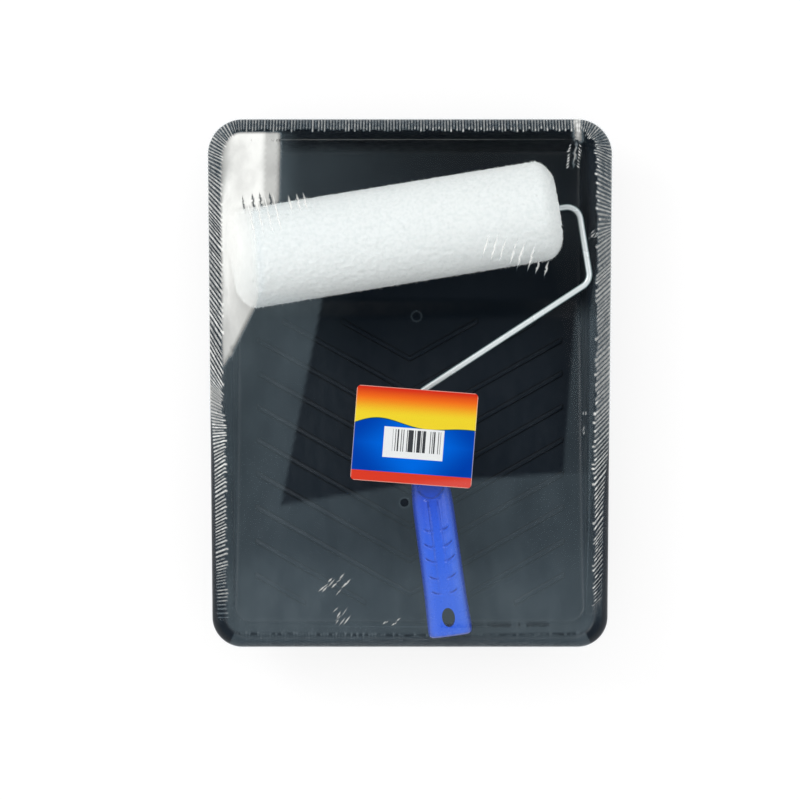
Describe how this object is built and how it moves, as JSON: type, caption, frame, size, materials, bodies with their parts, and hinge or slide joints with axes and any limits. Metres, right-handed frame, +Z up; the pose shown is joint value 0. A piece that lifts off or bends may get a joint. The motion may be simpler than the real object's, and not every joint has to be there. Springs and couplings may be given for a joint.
{
  "type": "paint roller tray",
  "caption": "Black moulded paint tray with a deep well and ribbed ramp, holding a white-pile roller on a bent wire frame with a blue handle, under clear shrink film with a label.",
  "frame": {"origin": "on the ground, under the middle of the tray's outline", "axes": "+Z up; +Y towards the deep well's end; -Y towards the shallow end where the ramp stops and the handle points; +X the side on which the roller's arm comes down"},
  "size_m": [0.2842, 0.3708, 0.1096],
  "materials": {
    "tray_plastic": "semi-gloss black moulded polypropylene",
    "clear_film": "clear heat-shrunk film with fine creases",
    "printed_label": "printed coated paper",
    "zinc_wire": "bright zinc-plated steel wire",
    "blue_plastic": "satin moulded polypropylene",
    "core_tube": "plain extruded tube",
    "white_pile": "soft deep knitted pile",
    "cage_plastic": "moulded nylon",
    "bush_plastic": "plain acetal"
  },
  "bodies": {
    "tray": {"tray": "tray_plastic"},
    "film": {"shrink_film": "clear_film", "label": "printed_label"},
    "roller_frame": {"wire_frame": "zinc_wire", "handle": "blue_plastic", "thrust_washer": "zinc_wire", "stop_collar": "zinc_wire", "push_nut": "zinc_wire"},
    "roller_cage": {"sleeve_core": "core_tube", "sleeve_pile": "white_pile", "cage_cap_arm": "cage_plastic", "cage_cap_far": "cage_plastic", "cage_ring": "cage_plastic", "cage_wire_1": "zinc_wire", "cage_wire_2": "zinc_wire", "cage_wire_3": "zinc_wire", "cage_wire_4": "zinc_wire", "cage_wire_5": "zinc_wire", "axle_bush_arm": "bush_plastic", "axle_bush_far": "bush_plastic"}
  },
  "joints": [
    {"name": "film_lift", "type": "slide", "parent": "tray", "child": "film", "axis": [0, 0, 1], "range_m": [0, 0.24]},
    {"name": "roller_lift", "type": "slide", "parent": "tray", "child": "roller_frame", "axis": [0, 0, 1], "range_m": [0, 0.12]},
    {"name": "sleeve_spin", "type": "hinge", "parent": "roller_frame", "child": "roller_cage", "pos_m": [-0.0106, 0.103, 0.073], "axis": [0.987, 0.1607, 0], "continuous": true}
  ],
  "couplings": [
    {"joint": "roller_lift", "follows": "film_lift", "ratio": 0.5}
  ]
}
